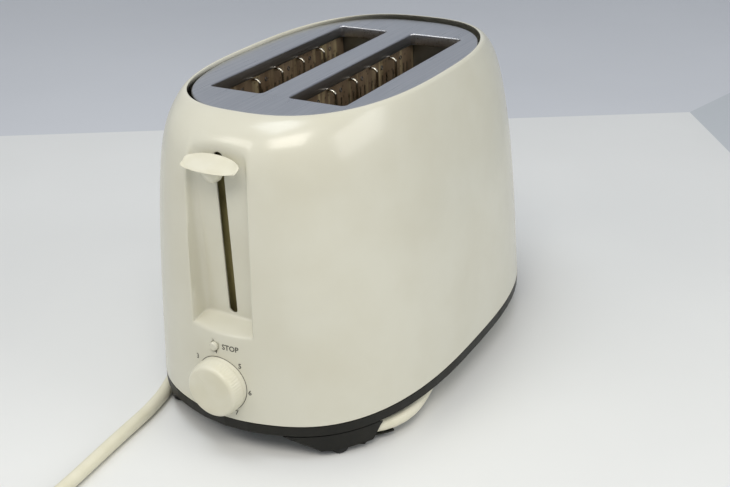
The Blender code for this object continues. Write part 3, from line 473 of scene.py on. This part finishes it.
def make_plug(mats):
    """Moulded round plug with a ribbed grip, flattened sides and two sleeved pins."""
    x, y, z = 34.0 * MM, -294.0 * MM, 15.8 * MM
    along_x = (1, 0, 0)
    profile = [(4.3 * MM, -9.5 * MM)]
    for i in range(4):
        along = -8.6 * MM + i * 3.1 * MM
        profile += [(5.3 * MM, along), (5.5 * MM, along + 1.3 * MM), (4.7 * MM, along + 1.8 * MM)]
    profile += [(6.6 * MM, 4.6 * MM), (9.2 * MM, 6.4 * MM), (11.2 * MM, 10 * MM), (13.3 * MM, 16 * MM)]
    profile += [(15.9 * MM, 22.5 * MM), (17.6 * MM, 27.2 * MM), (18.2 * MM, 30 * MM), (18.2 * MM, 39 * MM)]
    profile += [(17.9 * MM, 40.2 * MM), (16.9 * MM, 41 * MM)]
    flat = 15.3 * MM
    rings = []
    for ring in turned_rings(profile, (x, y, z), along_x, 56):
        rings.append([(px, py, z + max(-flat, min(flat, pz - z))) for px, py, pz in ring])
    body = loft("plug_body", rings, mats["vinyl"], sharp=50)
    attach(body, "housing")
    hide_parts("mains_plug")
    pin = [(2.4 * MM, 39 * MM), (2.4 * MM, 58.4 * MM), (1.9 * MM, 59.4 * MM), (1.1 * MM, 59.9 * MM)]
    sleeve = [(2.55 * MM, 40 * MM), (2.55 * MM, 50 * MM)]
    for side, dy in (("left", -9.5 * MM), ("right", 9.5 * MM)):
        centre = (x, y + dy, z)
        metal = loft(f"plug_pin_{side}", turned_rings(pin, centre, along_x, 24), mats["brass"])
        cover = loft(f"plug_pin_sleeve_{side}", turned_rings(sleeve, centre, along_x, 24), mats["black"])
        for piece in (metal, cover):
            piece.parent = body
    return body


# ---------------------------------------------------------------- housing

def plan_sizes(z):
    """Half width, half length, corner power and front swell of the housing's plan at height z."""
    t = min(max((z - SEAM_Z) / HOUSING_H, 0.0), 1.0)
    half_x = SEAM_WIDTH / 2 - SIDE_LEAN * t - SIDE_CURL * t ** SIDE_CURL_POWER
    half_y = SEAM_LENGTH / 2 - END_LEAN * t - END_CURL * t ** END_CURL_POWER
    power = PLAN_POWER_LOW + (PLAN_POWER_HIGH - PLAN_POWER_LOW) * t
    return half_x, half_y, power, FRONT_BULGE * (1 - t ** FRONT_BULGE_POWER)


def front_y(x, z, inset=0.0):
    """Where the lever end's surface is, without the recess."""
    half_x, half_y, power, swell = plan_sizes(z)
    u = min(abs(x) / (half_x - inset), 1.0)
    return -(half_y - inset) * (1 - u ** power) ** (1 / power) - swell * math.exp(-(x / FRONT_BULGE_W) ** 2)


# Section of the recess in mm: (depth in front of its floor, half width there) for the sides,
# and (depth, height over the seam) for the ledge below
RECESS_SIDE = ((0.0, 14.2), (0.2, 15.0), (0.6, 15.8), (1.6, 16.8), (3.2, 17.6), (5.5, 18.2), (9.0, 18.6),
               (16.0, 19.0), (26.0, 19.6))
RECESS_LEDGE = ((0.0, 53.4), (0.4, 52.7), (1.4, 52.1), (3.2, 51.5), (7.0, 50.4), (11.0, 49.3), (16.0, 47.8),
                (26.0, 45.0))
RECESS_SOFT = 2.8 * MM
RECESS_WALL = 1.2 * MM


def depth_at(table, value, rising):
    """How far in front of the recess's floor its side or ledge is, read from a table of (depth, place)."""
    for (d0, p0), (d1, p1) in zip(table, table[1:]):
        if (rising and value <= p1) or (not rising and value >= p1):
            share = (value - p0) / (p1 - p0)
            return d0 + (d1 - d0) * max(share, 0.0)
    return table[-1][0] + 20


def soft_max(a, b, softness):
    """The larger of two values, rounded off where they are close."""
    return (a + b + math.sqrt((a - b) ** 2 + softness ** 2)) / 2


def recessed_y(x, z, wall=0.0):
    """The lever end's surface with the soft-edged recess pressed into it."""
    surface_y = front_y(x, z, wall)
    if abs(x) > 27 * MM or z < 58 * MM or z > CREST_Z - 4 * MM:
        return surface_y
    side = depth_at(RECESS_SIDE, abs(x) / MM, True)
    ledge = depth_at(RECESS_LEDGE, (z - SEAM_Z) / MM, False)
    depth = soft_max(side, ledge, 1.2)
    recess_y = TROUGH_Y + min(wall, RECESS_WALL) - depth * MM
    settle = RECESS_SOFT ** 2 / (4 * (abs(surface_y - recess_y) + RECESS_SOFT))
    return soft_max(surface_y, recess_y, RECESS_SOFT) - settle


# Columns across the lever end in mm, close together where the recess turns, and steps round the rest
FRONT_HALF = 25.0
FRONT_XS = [-25, -24.2, -23.4] + [-22.8 + 0.45 * i for i in range(20)]
FRONT_XS += [-13.6, -12.2, -10.4, -8.2, -5.6, -2.8, 0]
FRONT_XS += [-x for x in reversed(FRONT_XS[:-1])]
AROUND = 170


def housing_ring(z, inset=0.0, wall=0.0):
    """The plan at height z: fixed columns across the lever end, even steps round the rest."""
    half_x, half_y, power, _ = plan_sizes(z)
    half_x, half_y = half_x - inset, half_y - inset
    front = [(x * MM, recessed_y(x * MM, z, wall if wall else inset), z) for x in FRONT_XS]
    edge = FRONT_HALF * MM
    start = -math.acos((edge / half_x) ** (power / 2))
    samples = 1200
    fine = []
    for i in range(samples + 1):
        a = start + (math.pi - 2 * start) * i / samples
        c, s = math.cos(a), math.sin(a)
        x = half_x * math.copysign(abs(c) ** (2 / power), c)
        y = half_y * math.copysign(abs(s) ** (2 / power), s)
        if y < 0:
            y = min(y, front_y(x, z, inset))
        fine.append((x, y))
    run = [0.0]
    for (x0, y0), (x1, y1) in zip(fine, fine[1:]):
        run.append(run[-1] + math.hypot(x1 - x0, y1 - y0))
    rest = []
    at = 0
    for i in range(1, AROUND):
        want = run[-1] * i / AROUND
        while run[at + 1] < want:
            at += 1
        share = (want - run[at]) / (run[at + 1] - run[at])
        (x0, y0), (x1, y1) = fine[at], fine[at + 1]
        rest.append((x0 + (x1 - x0) * share, y0 + (y1 - y0) * share, z))
    return front + rest


def housing_rings():
    """Rings up the outside, over the rounded rim and down the inside, with heights in mm."""
    heights = [21.0, 21.3, 22.5] + [25 + 3.9 * i for i in range(11)] + [66.5 + 0.6 * i for i in range(16)]
    heights += [78 + 6 * i for i in range(12)] + [147 + 1.1 * i for i in range(20)]
    heights += [169.5, 170.7, 171.8, 172.8, 173.7, 174.5, 175.2, 175.8, 176.3]
    rings = [housing_ring(SEAM_Z, 0.5 * MM)]
    rings += [housing_ring(z * MM) for z in heights[1:]]
    rim_start = 176.6 * MM
    for a in arc(0, 90, 6):
        z = rim_start + (CREST_Z - rim_start) * math.sin(a)
        rings.append(housing_ring(z, RIM_ROUND * (1 - math.cos(a))))
    inner_w, inner_h = 1.1 * MM, 2.0 * MM
    for a in arc(90, 0, 5)[1:]:
        z = CREST_Z - inner_h + inner_h * math.sin(a)
        rings.append(housing_ring(z, RIM_ROUND + inner_w * math.cos(a)))
    for z, inset in ((175.8, 2.7), (173.0, 2.75), (171.0, 2.8)):
        rings.append(housing_ring(z * MM, inset * MM))
    for z in reversed([z for z in heights if z < 170]):
        rings.append(housing_ring(z * MM, WALL))
    return rings


CUTTER_FRONT_Y = -145 * MM


def round_cutter(name, radius, x, z, mat):
    """Rod through the lever end's wall."""
    profile = [(radius, 0), (radius, 24 * MM)]
    return loft(name, turned_rings(profile, (x, CUTTER_FRONT_Y, z), (0, 1, 0), 32), mat)


def make_housing(mats):
    """Shell with the lever recess, and the holes for the lever, the dial's shaft and the stop button."""
    shell = loft("housing_visible", housing_rings(), mats["cream"], close=True, sharp=60)
    half_h = (LEVER_SLOT_HIGH_Z - LEVER_SLOT_LOW_Z) / 2
    middle = (LEVER_SLOT_LOW_Z + LEVER_SLOT_HIGH_Z) / 2
    outline = rounded_rect(LEVER_SLOT_HALF, half_h, LEVER_SLOT_HALF - 0.1 * MM, 8)
    ends = [[(x, y, middle + z) for x, z in outline] for y in (CUTTER_FRONT_Y, -105 * MM)]
    slot = loft("slot_cutter", ends, mats["cream"])
    dial = round_cutter("dial_cutter", 3.8 * MM, DIAL_X, DIAL_Z, mats["cream"])
    stop = round_cutter("stop_cutter", 2.6 * MM, STOP_X, STOP_Z, mats["cream"])
    cut(shell, [slot, dial, stop])
    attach(shell, "housing")
    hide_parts("housing_shell")


def cut(obj, tools):
    """Apply Boolean cuts and remove the cutters."""
    for tool in tools:
        mod = obj.modifiers.new("cut", "BOOLEAN")
        mod.operation = "DIFFERENCE"
        mod.solver = "EXACT"
        mod.object = tool
    graph = bpy.context.evaluated_depsgraph_get()
    mesh = bpy.data.meshes.new_from_object(obj.evaluated_get(graph))
    obj.modifiers.clear()
    obj.data = mesh
    for tool in tools:
        bpy.data.objects.remove(tool)


# ---------------------------------------------------------------- controls

def flat_text(text, x, z, size):
    """Points (x, z) and faces of a text whose middle is at x, z."""
    curve = bpy.data.curves.new("mark", "FONT")
    curve.body = text
    curve.size = size
    curve.resolution_u = 3
    curve.offset = 0.022 * size
    obj = bpy.data.objects.new("mark", curve)
    bpy.context.scene.collection.objects.link(obj)
    mesh = bpy.data.meshes.new_from_object(obj.evaluated_get(bpy.context.evaluated_depsgraph_get()))
    across = [v.co.x for v in mesh.vertices]
    upward = [v.co.y for v in mesh.vertices]
    x -= (min(across) + max(across)) / 2
    z -= (min(upward) + max(upward)) / 2
    points = [(x + v.co.x, z + v.co.y) for v in mesh.vertices]
    faces = [tuple(p.vertices) for p in mesh.polygons]
    bpy.data.objects.remove(obj)
    bpy.data.meshes.remove(mesh)
    return points, faces


def ring_band(inner, outer, half_angle, steps):
    """Points (x, z) and faces of a dark band round the dial's seat, open at the bottom: painted shadow where
    the seat meets the housing.
    """
    points = []
    for i in range(steps + 1):
        a = math.radians(half_angle * (2 * i / steps - 1))
        for radius in (inner, outer):
            points.append((DIAL_X + radius * math.sin(a), DIAL_Z + radius * math.cos(a)))
    faces = [(2 * i, 2 * i + 1, 2 * i + 3, 2 * i + 2) for i in range(steps)]
    return points, faces


def make_marks(mats):
    """Generic printed marks, the numbers 1 to 7 and a word by the stop button, with a ring round the dial
    seat's base that is painted shadow, not print.
    """
    numbers_x, numbers_z, numbers_r = -1.9 * MM, 40.7 * MM, 18.2 * MM
    shapes = []
    for number in range(1, 8):
        a = math.radians(-154 + 50 * (number - 1))
        x = numbers_x + numbers_r * math.sin(a)
        shapes.append(flat_text(str(number), x, numbers_z + numbers_r * math.cos(a), 3.8 * MM))
    shapes.append(flat_text("STOP", 6.0 * MM, 62.3 * MM, 4.1 * MM))
    # Painted shadow: a dark band right at the base of the dial's seat, where the seat meets the housing.
    shapes.append(ring_band(15.4 * MM, 15.75 * MM, 150, 120))
    verts, faces = [], []
    for points, outlines in shapes:
        base = len(verts)
        verts += [(x, recessed_y(x, z) - 0.04 * MM, z) for x, z in points]
        faces += [tuple(base + i for i in outline) for outline in outlines]
    marks = mesh_piece("printed_marks_and_shadow", shifted(verts), faces, mats["print_and_shadow"])
    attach(marks, "housing")


def make_dial_seat(mats):
    """Raised ring on the housing that the dial turns against."""
    front_y = DIAL_BACK_Y + 0.04 * MM
    seat = [(4.2 * MM, 0), (15.4 * MM, 0), (15.4 * MM, 6 * MM), (4.2 * MM, 6 * MM)]
    rings = turned_rings(seat, (DIAL_X, front_y, DIAL_Z), (0, 1, 0), 96)
    boss = loft("dial_seat", rings, mats["knob"], close=True)
    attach(boss, "housing")


# Section of the dial: (radius in mm, distance in front of its back in mm, how much the grip's ribs show)
DIAL_SECTION = ((3.2, -12.0, 0), (3.2, 0.0, 0), (15.2, 0.0, 0), (15.42, 0.08, 0), (15.45, 0.7, 0.2),
                (15.4, 1.4, 1), (15.15, 4.6, 1), (15.0, 5.4, 0.9), (14.8, 6.0, 0.4), (14.5, 6.7, 0),
                (14.0, 7.3, 0), (13.4, 7.65, 0), (12.6, 7.8, 0), (9.0, 7.74, 0), (4.0, 7.7, 0))


def dial_pointer(mat):
    """Low bar on the dial's face, near its edge."""
    bar = rounded_rect(0.55 * MM, 4.6 * MM, 0.5 * MM, 4)
    from_axis = 8.2 * MM
    turn = math.radians(38)
    rings = []
    for along, grow in ((7.5, 1.0), (7.78, 0.72)):
        ring = []
        for u, v in bar:
            u, v = u * grow, v * grow + from_axis
            ring.append((DIAL_X + u * math.cos(turn) - v * math.sin(turn), DIAL_BACK_Y - along * MM,
                         DIAL_Z + u * math.sin(turn) + v * math.cos(turn)))
        rings.append(ring)
    return loft("dial_pointer", rings, mat)


def make_dial(mats):
    """Dial with a finely ribbed grip, a soft face edge and a raised pointer bar."""
    ribs, per_rib, rib_depth = 60, 4, 0.28
    steps = ribs * per_rib
    rings = []
    for r, along, grip in DIAL_SECTION:
        ring = []
        for i in range(steps):
            a = 2 * math.pi * i / steps
            wave = 0.5 - 0.5 * math.cos(2 * math.pi * (i % per_rib) / per_rib)
            radius = (r - rib_depth * grip * wave) * MM
            ring.append((DIAL_X + radius * math.cos(a), DIAL_BACK_Y - along * MM,
                         DIAL_Z + radius * math.sin(a)))
        rings.append(ring)
    knob = loft("dial_visible", rings, mats["knob"], sharp=62)
    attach(knob, "dial")
    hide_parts("browning_knob")
    dial_pointer(mats["knob"]).parent = knob


KNOB_HALF_W = 16.4


def knob_section(u):
    """Top and underside of the thumb plate at u (-1 to 1 across), from the back edge to the front."""
    back = -118.6 - 3.6 * u ** 4
    front = -125.4 - 3.2 * max(1 - abs(u) ** 3.0, 0.0) ** 0.5
    tip = min(1 - abs(u), 0.1) / 0.1
    rows = 21
    top, under = [], []
    for j in range(rows):
        v = j / (rows - 1)
        y = back + (front - back) * v
        slope = max(v - 0.14, 0) / 0.86
        scoop = 0.7 * math.sin(math.pi * slope) * (1 - u * u)
        crown = 163.0 - 2.6 * u * u - (5.4 - 1.6 * u * u) * slope ** 0.75 - scoop
        belly = 155.1 + 3.0 * u * u + 0.4 * v
        edge = min(tip, v / 0.1, (1 - v) / 0.14, 1.0)
        rounding = math.sqrt(max(1 - (1 - edge) ** 2, 0.0))
        mid = (crown + belly) / 2
        top.append((KNOB_HALF_W * u, y, mid + (crown - mid) * rounding))
        under.append((KNOB_HALF_W * u, y, mid + (belly - mid) * rounding))
    return [(x * MM, y * MM, z * MM) for x, y, z in top + under[::-1]]


def make_lever_knob(mats):
    """Thumb plate with a high back edge and a scooped slope, and the web that carries it."""
    columns = 61
    places = [-math.cos(math.pi * i / (columns - 1)) for i in range(columns)]
    knob = loft("lever_knob_visible", [knob_section(u) for u in places], mats["knob"], sharp=50)
    back = -118.9
    chamfer = 1.8
    web = []
    for z, half, front in ((157.5, 7.0, -126.8), (155.0, 5.6, -126.6), (152.6, 3.8, -126.0),
                           (150.8, 2.7, -125.2), (149.8, 2.0, -124.4)):
        outline = [(-half, back), (half, back), (half, front + chamfer), (half * 0.6, front),
                   (-half * 0.6, front), (-half, front + chamfer)]
        web.append([(x * MM, y * MM, z * MM) for x, y in outline])
    stem = loft("lever_knob_web", web, mats["knob"], sharp=50)
    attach(knob, "carriage")
    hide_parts("lever_knob")
    stem.parent = knob


def make_guide_strips(mats):
    """Two strips beside the lever arm's path, just behind the slot."""
    for side, sx in (("left", -1), ("right", 1)):
        rings = []
        for z in (68, 168):
            corners = ((1.5, -110.6), (9.5, -110.6), (9.5, -109.9), (1.5, -109.9))
            rings.append([(sx * x * MM, y * MM, z * MM) for x, y in corners])
        strip = loft(f"lever_guide_{side}", rings, mats["guide"])
        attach(strip, "housing")


# ---------------------------------------------------------------- top plate and slots

def plate_outline(steps=180):
    """The plate's edge, counted from the middle of the housing."""
    low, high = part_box("top_plate")
    half_w, half_l = high[0], (high[1] - low[1]) / 2
    outline = []
    for i in range(steps):
        a = 2 * math.pi * i / steps
        c, s = math.cos(a), math.sin(a)
        outline.append((half_w * math.copysign(abs(c) ** (2 / PLAN_POWER_HIGH), c),
                        half_l * math.copysign(abs(s) ** (2 / PLAN_POWER_HIGH), s)))
    return outline


def slot_outline(side, out):
    """A bread slot's edge on one side (-1 or 1), grown outwards."""
    half_w = (BREAD_SLOT_OUT - BREAD_SLOT_IN) / 2
    points = rounded_rect(half_w + out, BREAD_SLOT_HALF_L + out, BREAD_SLOT_CORNER_R + out)
    return [(side * BREAD_X + x, y) for x, y in points]


def flange_rows(fold):
    """(Outward, downward) steps of a slot's folded edge: over the bend, down, round the hem and up behind."""
    hem = 0.55 * MM
    hem_z = -FLANGE_DEPTH + 1.1 * MM
    rows = [(fold * (1 - math.sin(a)), -fold * (1 - math.cos(a))) for a in arc(0, 90, 5)[1:]]
    rows += [(0.0, hem_z)]
    rows += [(hem * (1 - math.cos(a)) + 0.02 * MM, hem_z - hem * math.sin(a) * 1.9) for a in arc(20, 160, 5)]
    rows += [(1.0 * MM, hem_z + 0.5 * MM), (0.8 * MM, -fold - 0.4 * MM), (1.6 * MM, -0.8 * MM)]
    return rows


def make_top_plate(mats):
    """Brushed plate with folded, hemmed edges round the slots and a turned-down outer edge."""
    bm = bmesh.new()
    fold = 0.8 * MM

    def add_loop(points, z):
        return [bm.verts.new((x, y + HOUSING_Y, z)) for x, y in points]

    def bridge(first, second):
        count = len(first)
        for i in range(count):
            j = (i + 1) % count
            bm.faces.new((first[i], first[j], second[j], second[i]))

    def close_edges(loop):
        return [bm.edges.new((loop[i], loop[(i + 1) % len(loop)])) for i in range(len(loop))]

    outline = plate_outline()
    top_loop = add_loop([(x * 0.992, y * 0.995) for x, y in outline], PLATE_Z)
    edges = close_edges(top_loop)
    slot_loops = []
    for side in (-1, 1):
        loop = add_loop(slot_outline(side, fold), PLATE_Z)
        edges += close_edges(loop)
        slot_loops.append((side, loop))
    bmesh.ops.triangle_fill(bm, edges=edges, use_beauty=True, use_dissolve=False, normal=(0, 0, 1))
    down = add_loop(outline, PLATE_Z - 0.45 * MM)
    bridge(top_loop, down)
    bridge(down, add_loop(outline, PLATE_Z - 0.8 * MM))
    for side, last in slot_loops:
        for out, dz in flange_rows(fold):
            new = add_loop(slot_outline(side, out), PLATE_Z + dz)
            bridge(last, new)
            last = new
    mesh = bpy.data.meshes.new("top_plate_visible")
    bm.to_mesh(mesh)
    bm.free()
    plate = finish_piece("top_plate_visible", mesh, mats["steel"], sharp=35)
    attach(plate, "housing")
    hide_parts("top_plate")


def make_guards(mats):
    """Bent wires: out of the mica's top, over in a hook and down in front of the board to a foot rail."""
    inset = 3.4 * MM
    bend = 2.3 * MM
    top, foot = 168.2 * MM, 44 * MM
    for place, (board, slotward) in BOARDS.items():
        outer = abs(board) > BREAD_X
        x = math.copysign(BREAD_SLOT_OUT - inset if outer else BREAD_SLOT_IN + inset, board)
        face = board + slotward * 0.7 * MM
        runs = []
        for i in range(5):
            y = (i - 2) * 22.5 * MM - 5 * MM
            hook = [(face, y, top - 0.4 * MM)]
            hook += [(x - slotward * bend * (1 - math.sin(a)), y, top - bend + bend * math.cos(a))
                     for a in arc(0, 90, 8)]
            hook += [(x, y, 120 * MM), (x, y, foot)]
            runs.append(hook)
        runs.append([(x, -66 * MM, foot), (x, 66 * MM, foot)])
        guard = wire_object(f"guard_{place}", runs, 0.8 * MM, mats["wire"])
        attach(guard, "housing")
        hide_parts(f"bread_guard_{place}")


def make_ribbons(mats):
    """Flat heating ribbon wound round each mica board, with eyelets near the top edge."""
    half, lean, pitch, count = 0.55 * MM, 0.9 * MM, 6.4 * MM, 21
    low, high = 46 * MM, 160 * MM
    for place, (board, slotward) in BOARDS.items():
        face = board + slotward * 0.42 * MM
        verts, faces = [], []
        for i in range(count):
            y = -64 * MM + pitch * i
            shift = lean if i % 2 else -lean
            a = len(verts)
            verts += [(face, y - shift - half, low), (face, y - shift + half, low),
                      (face, y + shift - half, high), (face, y + shift + half, high)]
            faces.append((a, a + 1, a + 3, a + 2))
        front = len(verts)
        verts += [(x + slotward * 0.12 * MM, y, z) for x, y, z in verts]
        solid = []
        for a, b, c, d in faces:
            solid.append((a + front, b + front, c + front, d + front))
            for p, q in ((a, b), (b, c), (c, d), (d, a)):
                solid.append((p, q, q + front, p + front))
        ribbon = mesh_piece(f"ribbon_{place}", shifted(verts), faces + solid, mats["ribbon"])
        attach(ribbon, "housing")
        make_eyelets(place, face + slotward * 0.15 * MM, mats["iron"])


def make_eyelets(place, x, mat):
    """A row of small rings round the holes near a board's top edge."""
    radius, z = 1.0 * MM, 164.5 * MM
    rings = []
    for i in range(6):
        y = -60 * MM + 23.0 * MM * i
        rings.append([(x, y + radius * math.cos(a), z + radius * math.sin(a)) for a in arc(0, 360, 14)])
    eyelets = wire_object(f"eyelets_{place}", rings, 0.28 * MM, mat, resolution=1)
    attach(eyelets, "housing")


def make_spring(mats):
    """Wound compression spring on the guide rod."""
    low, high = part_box("carriage_spring")
    x, y = (low[0] + high[0]) / 2, (low[1] + high[1]) / 2 - HOUSING_Y
    length = high[2] - low[2]
    coil_r, wire_r, end_gap = 4.6 * MM, 0.7 * MM, 0.8 * MM
    turns, steps = 19, 18
    points = []
    for i in range(turns * steps + 1):
        a = 2 * math.pi * i / steps
        z = low[2] + end_gap + (length - 2 * end_gap) * i / (turns * steps)
        points.append((x + coil_r * math.cos(a), y + coil_r * math.sin(a), z))
    curve = wire_object("spring_curve", [points], wire_r, mats["zinc"], resolution=1)
    mesh = bpy.data.meshes.new_from_object(curve.evaluated_get(bpy.context.evaluated_depsgraph_get()))
    bpy.data.objects.remove(curve)
    mesh.shade_smooth()
    spring = bpy.data.objects.new("spring_visible", mesh)
    bpy.context.scene.collection.objects.link(spring)
    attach(spring, "housing")
    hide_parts("carriage_spring")
    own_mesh(spring)


# ---------------------------------------------------------------- CAD pieces that keep their shape

KEPT = {
    "cream": ("stop_button",),
    "dark": ("base_pan", "crumb_tray_handle", "cord_strain_relief"),
    "steel": ("crumb_tray", "guide_rod"),
    "zinc": ("front_end_plate", "rear_end_plate", "left_side_panel", "right_side_panel", "carriage_bracket",
             "left_bread_rack", "right_bread_rack", "browning_control", "base_screw_1", "base_screw_2",
             "base_screw_3", "base_screw_4"),
    "mica": ("mica_board_left_outer", "mica_board_left_inner", "mica_board_right_inner",
             "mica_board_right_outer"),
    "rubber": ("foot_front_left", "foot_front_right", "foot_rear_left", "foot_rear_right"),
    "iron": ("armature_plate", "magnet_core"),
    "copper": ("magnet_coil",),
    "board": ("control_board",),
    "black": ("stop_switch", "mains_switch", "terminal_block"),
}


def dress_cad(mats):
    """Give the CAD pieces that stay visible their finishes."""
    for key, names in KEPT.items():
        for name in names:
            for place in NODES[name].material_slots:
                place.material = mats[key]


def main():
    """The camera and the lead come first, then the object from the outside in."""
    make_camera()
    mats = make_materials()
    make_stage()
    make_lead(mats, make_plug(mats))
    make_housing(mats)
    make_marks(mats)
    make_dial_seat(mats)
    make_dial(mats)
    make_lever_knob(mats)
    make_guide_strips(mats)
    make_top_plate(mats)
    make_guards(mats)
    make_ribbons(mats)
    make_spring(mats)
    dress_cad(mats)


main()
